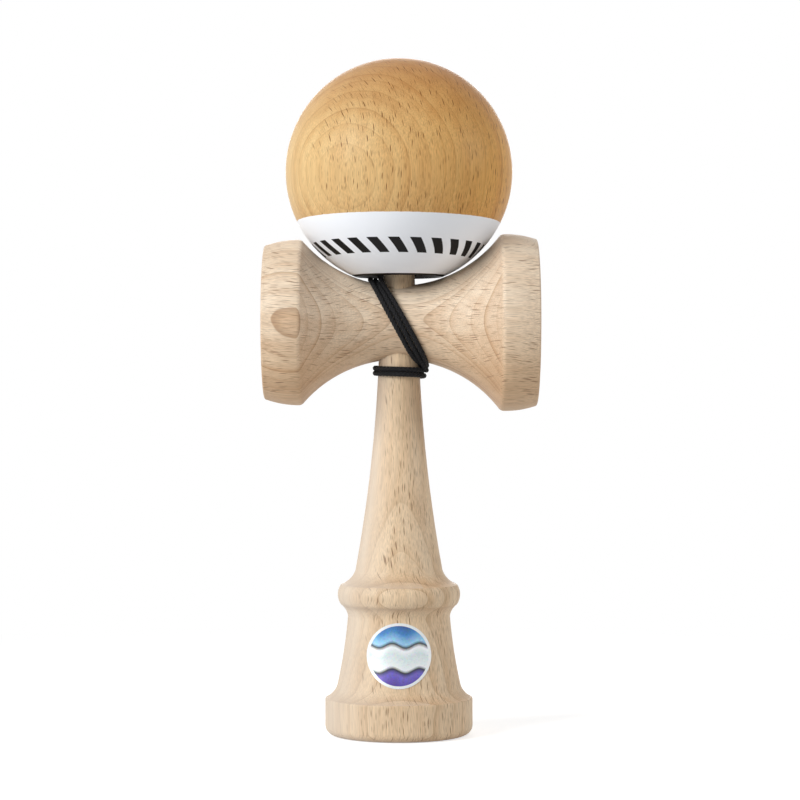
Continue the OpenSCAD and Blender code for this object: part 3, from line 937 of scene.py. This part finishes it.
def with_hole_shade(tree, colour, at, outside, fibre):
    """The ball's colour with painted shade in the drilled hole and at its mouth laid over it."""
    # Painted shade: brown inside the hole, near black at its mouth.
    inside = [ball_r - skin for skin in HOLE_SHADE_SKIN]
    hole_shade = rise(tree, calc_vector(tree, "LENGTH", at), *inside)
    hole_shade = calc(tree, "MULTIPLY", hole_shade, HOLE_SHADE_SHARE)
    colour = mixed(tree, hole_shade, colour, HOLE_SHADE_BROWN, "MULTIPLY")
    low_down = rise(tree, add(tree, "SeparateXYZ", Vector=at).outputs[2], *MOUTH_HEIGHTS)
    mouth = calc(tree, "MULTIPLY", low_down, calc(tree, "SUBTRACT", 1.0, outside))
    return mixed(tree, mouth, colour, mixed(tree, fibre, *MOUTH_SHADE))


print("dark rim, mm wide:", round(MOUTH_SHADE_R - mouth_r, 2))

# %% [markdown]
# Paint and lacquer share one material, because they lie on one surface. A soft step on the height
# above the ball's centre decides between them. The ball was dipped a little askew, so that height is
# a dot product with a leaning direction, and some noise makes the edge waver as brushed paint does.
# The bump gives the paint a thickness, and leaves the grooves of the rays open above it.

# %% Lacquer and paint
PAINT_LINE = -13.4
PAINT_EDGE = (0.13, 0.03)
BRUSH_SCALE = 0.8
BRUSH_WAVER = 0.16
DIP_SLOPE = (0.008, 0.035, 1)
WHITE_PAINT = (linear(240, 244, 250), linear(246, 249, 254))
CLOUD_SCALE = 0.12
DASH_BLACK = linear(26, 25, 26)
FILLED_GROOVE = -0.5
PAINT_THICK = 3.0
BRUSH_MARKS = 0.3
SATIN_ROUGH = (0.14, 0.34)
PAINT_ROUGHER = 0.06


def ball_relief(tree, figure, painted, brush):
    """Grooves of the rays where the wood is bare, and the thickness of the paint."""
    bare = calc(tree, "SUBTRACT", 1.0, painted)
    grooves = calc(tree, "MULTIPLY", calc(tree, "MULTIPLY", figure["strong"], FILLED_GROOVE), bare)
    coat = calc(tree, "MULTIPLY_ADD", painted, PAINT_THICK, calc(tree, "MULTIPLY", brush, BRUSH_MARKS))
    height = calc(tree, "ADD", grooves, coat)
    return add(tree, "Bump", Height=height, Strength=BUMP, Distance=0.015 * MM).outputs[0]


def ball_finish():
    material, tree = new_material("lacquered_beech")
    at = from_point(tree, 0, 0, ball_z)
    x, y, _ = add(tree, "SeparateXYZ", Vector=at).outputs
    wood, figure = lacquered_wood(tree, x)
    brush = noise(tree, at, BRUSH_SCALE, 1.0)
    dipped = calc_vector(tree, "DOT_PRODUCT", at, DIP_SLOPE)
    edge = calc(tree, "MULTIPLY_ADD", brush, BRUSH_WAVER, dipped)
    below = rise(tree, edge, PAINT_LINE + PAINT_EDGE[0], PAINT_LINE + PAINT_EDGE[1])
    outside = outside_mouth(tree, at)
    painted = calc(tree, "MULTIPLY", below, outside)
    paint = mixed(tree, noise(tree, at, CLOUD_SCALE, 3.0), *WHITE_PAINT)
    paint = mixed(tree, ring_of_dashes(tree, x, y, dipped), paint, DASH_BLACK)
    colour = with_hole_shade(tree, mixed(tree, painted, wood, paint), at, outside, figure["fibre"])
    satin = calc(tree, "MULTIPLY_ADD", figure["fibre"], *SATIN_ROUGH)
    rough = calc(tree, "MULTIPLY_ADD", painted, PAINT_ROUGHER, satin)
    surface(tree, Base_Color=colour, Roughness=rough, Normal=ball_relief(tree, figure, painted, brush),
            Specular_IOR_Level=0.1, Coat_Weight=0.03, Coat_Roughness=0.3)
    return material


ball_coat = ball_finish()
print("nodes in the ball's finish:", len(ball_coat.node_tree.nodes))

# %% [markdown]
# The string's yarns are real geometry, so their material adds only a finish: matt black with fine
# filaments, a dull sheen, and patches that are a little greyer from wear.

# %% String
FILAMENT_SCALE = 6.0
WEAR_SCALE = 0.35
WEAR_SHARE = 0.4
YARN_ROUGH = (0.2, 0.6)
STRING_BLACK = (linear(9, 9, 11), linear(29, 29, 32))
WORN_BLACK = linear(28, 28, 31)


def braid_finish():
    material, tree = new_material("string")
    at = from_point(tree, 0, 0, 0)
    thread = noise(tree, at, FILAMENT_SCALE, 3.0)
    worn = rise(tree, noise(tree, at, WEAR_SCALE, 2.0), 0.5, 0.8)
    colour = mixed(tree, rise(tree, thread, 0.3, 0.75), *STRING_BLACK)
    colour = mixed(tree, calc(tree, "MULTIPLY", worn, WEAR_SHARE), colour, WORN_BLACK)
    relief = add(tree, "Bump", Height=thread, Strength=0.6, Distance=0.03 * MM).outputs[0]
    rough = calc(tree, "MULTIPLY_ADD", thread, *YARN_ROUGH)
    surface(tree, Base_Color=colour, Roughness=rough, Normal=relief, Specular_IOR_Level=0.25,
            Sheen_Weight=0.05, Sheen_Roughness=0.4)
    return material


string_black = braid_finish()
for piece in string_pieces + [inner_tied, crown_tied]:
    piece.data.materials.append(string_black)
print("pieces in", string_black.name + ":", len(string_pieces) + 2)

# %% [markdown]
# The round foil label has soft wavy fields, blue above and violet below, with silver between, two
# dark lines that follow the waves, and a pale rim. A wave is a sine of the sideways place, added to
# the height, so one colour ramp over that height makes every band follow it. Foil glitters because it
# is made of tiny facets, and the cells of a Voronoi texture stand in for them: each cell has its own
# roughness, and tints the colour a little as a painted glint.

# %% Label
label_low, label_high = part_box("label")
label_middle = (label_low + label_high) / 2 / MM
label_r = (label_high.z - label_low.z) / 2 / MM
LABEL_BANDS = [
    (0.0, (72, 44, 140)), (0.2, (104, 92, 186)), (0.27, (24, 26, 32)), (0.315, (228, 234, 236)),
    (0.5, (206, 220, 222)), (0.6, (236, 240, 244)), (0.655, (24, 26, 32)), (0.7, (150, 200, 232)),
    (0.85, (58, 126, 186)), (1.0, (36, 62, 132)),
]
LABEL_WAVES = 2.4
WAVE_HEIGHT = 0.6
LABEL_RIM = (0.75, 0.65)
RIM_SILVER = linear(226, 230, 232)
GLITTER_SCALE = 2.2
# How much of each facet's tint is laid over the colour as painted glints.
PAINTED_GLINT_SHARE = 0.16
FOIL_ROUGH = (0.2, 0.24)


def wavy_bands(tree, x, z):
    """Colour of the printed bands at a place on the label."""
    wave = calc(tree, "SINE", calc(tree, "MULTIPLY", x, LABEL_WAVES * math.pi / label_r))
    height = calc(tree, "MULTIPLY_ADD", wave, WAVE_HEIGHT, z)
    bands = add(tree, "ValToRGB", Fac=calc(tree, "MULTIPLY_ADD", height, 0.5 / label_r, 0.5))
    while len(bands.color_ramp.elements) < len(LABEL_BANDS):
        bands.color_ramp.elements.new(0.5)
    for element, (position, colour) in zip(bands.color_ramp.elements, LABEL_BANDS):
        element.position = position
        element.color = linear(*colour)
    return bands.outputs[0]


def label_finish():
    material, tree = new_material("label_foil")
    at = from_point(tree, label_middle.x, 0, label_middle.z)
    x, _, z = add(tree, "SeparateXYZ", Vector=at).outputs
    inside = [label_r - width for width in LABEL_RIM]
    rim = rise(tree, off_axis(tree, at, (1, 0, 1)), *inside)
    colour = mixed(tree, rim, wavy_bands(tree, x, z), RIM_SILVER)
    facets = add(tree, "TexVoronoi", Vector=at, Scale=GLITTER_SCALE)
    # Painted glints: each facet tints the colour a little.
    tint = mixed(tree, PAINTED_GLINT_SHARE, colour, facets.outputs["Color"], "OVERLAY")
    rough = calc(tree, "MULTIPLY_ADD", facets.outputs["Distance"], *FOIL_ROUGH)
    surface(tree, Base_Color=tint, Roughness=rough, Metallic=0.2, Coat_Weight=0.4, Coat_Roughness=0.15)
    return material


label_print = label_finish()
print("label radius, mm:", round(label_r, 2))

# %% [markdown]
# The CAD meshes come in with one hard-edged strip for each straight piece of a lathe outline. Their
# points must stay where they are, so modifiers do the polishing: Weld joins the strips, smooth shading
# rounds them, and Edge Split keeps the real corners, such as the rims of the cups, crisp.

# %% Smooth wood
CORNER = math.radians(20)
WELD_GAP = 0.002
HARD_FLAGS = ("custom_normal", "sharp_edge", "sharp_face")
finishes = {"ken": handle_wood, "sarado": cross_wood, "tama": ball_coat, "bead": bead_wood,
            "label": label_print}
for name, material in finishes.items():
    mesh = nodes[name].data
    for flag in HARD_FLAGS:
        if flag in mesh.attributes:
            mesh.attributes.remove(mesh.attributes[flag])
    mesh.materials.clear()
    mesh.materials.append(material)
    weld = nodes[name].modifiers.new("weld", "WELD")
    weld.merge_threshold = WELD_GAP * MM
    split = nodes[name].modifiers.new("corners", "EDGE_SPLIT")
    split.split_angle = CORNER
    split.use_edge_sharp = False
    print(name, "faces:", len(mesh.polygons))

# %% [markdown]
# The toy stands in a white studio. A white wall lit by strong lamps would also throw light on the
# wood and bleach it, so the floor and the sky are raised to white only where the camera, or a
# reflection, looks straight at them. Round the toy the floor is matt and takes its shadow. Further off
# it turns into pure glow, so no horizon shows. The Standard view adds no contrast of its own.

# %% Floor
scene.view_settings.view_transform = "Standard"
WHITE = (1, 1, 1, 1)
FLOOR_SIZE = 6.0
FLOOR_DROP = 0.1
FLOOR_GREY = linear(226, 226, 226)
FLOOR_GLOW = 0.62
SHADOW_REACH = (0.08, 0.3)


def seen_directly(tree):
    """1 for rays from the camera and for reflections and clear views of the background."""
    path = add(tree, "LightPath").outputs
    either = calc(tree, "MAXIMUM", path["Is Camera Ray"], path["Is Glossy Ray"])
    return calc(tree, "MAXIMUM", either, path["Is Transmission Ray"])


def floor_finish():
    material, tree = new_material("floor")
    seen = seen_directly(tree)
    away = calc_vector(tree, "LENGTH", add(tree, "TexCoord").outputs["Object"])
    matt = add(tree, "BsdfDiffuse", Color=FLOOR_GREY)
    glow = add(tree, "Emission", Color=WHITE, Strength=calc(tree, "MULTIPLY", seen, FLOOR_GLOW))
    near = add(tree, "AddShader")
    fill(tree, near.inputs, (matt.outputs[0], glow.outputs[0]))
    far = add(tree, "Emission", Color=WHITE, Strength=1.0)
    share = calc(tree, "MULTIPLY", seen, rise(tree, away, *SHADOW_REACH))
    floor = add(tree, "MixShader")
    fill(tree, floor.inputs, (share, near.outputs[0], far.outputs[0]))
    add(tree, "OutputMaterial", Surface=floor.outputs[0])
    return material


def make_floor():
    mesh = bpy.data.meshes.new("floor")
    half = FLOOR_SIZE / 2
    corners = [(-half, -half, 0), (half, -half, 0), (half, half, 0), (-half, half, 0)]
    mesh.from_pydata(corners, [], [(0, 1, 2, 3)])
    mesh.materials.append(floor_finish())
    floor = bpy.data.objects.new("floor", mesh)
    floor.location.z = -FLOOR_DROP * MM
    scene.collection.objects.link(floor)


make_floor()
print("floor, m:", FLOOR_SIZE)

# %% [markdown]
# The light is that of a plain product picture. A large soft lamp on the left makes the near side
# bright and lets the right side fall away. A weaker one on the right keeps that side open, one behind
# lights the back, and a pale sky fills the rest. Disk lamps are used because a point lamp would draw
# hard shadows.

# %% Sky and lamps
SKY = 0.25
LAMP_SIZE = 0.6
LAMPS = {
    "window_left": ((-0.77, -0.61, 0.58), 10.4),
    "lamp_behind": ((0.0, 1.1, 0.34), 3.4),
    "fill_right": ((1.02, -0.18, 0.47), 3.6),
}


def make_sky():
    world = bpy.data.worlds.new("studio")
    world.use_nodes = True
    tree = world.node_tree
    tree.nodes.clear()
    strength = calc(tree, "MULTIPLY_ADD", seen_directly(tree), 1 - SKY, SKY)
    sky = add(tree, "Background", Color=WHITE, Strength=strength)
    add(tree, "OutputWorld", Surface=sky.outputs[0])
    scene.world = world


def soft_lamp(name, place, power):
    """A round lamp that looks at the middle of the toy."""
    data = bpy.data.lights.new(name, "AREA")
    data.shape = "DISK"
    data.size = LAMP_SIZE
    data.energy = power
    lamp = bpy.data.objects.new(name, data)
    lamp.location = place
    aim = Vector((0, 0, (cad_low.z + cad_high.z) / 2)) - lamp.location
    lamp.rotation_euler = aim.to_track_quat("-Z", "Y").to_euler()
    scene.collection.objects.link(lamp)


make_sky()
for name, (place, power) in LAMPS.items():
    soft_lamp(name, place, power)
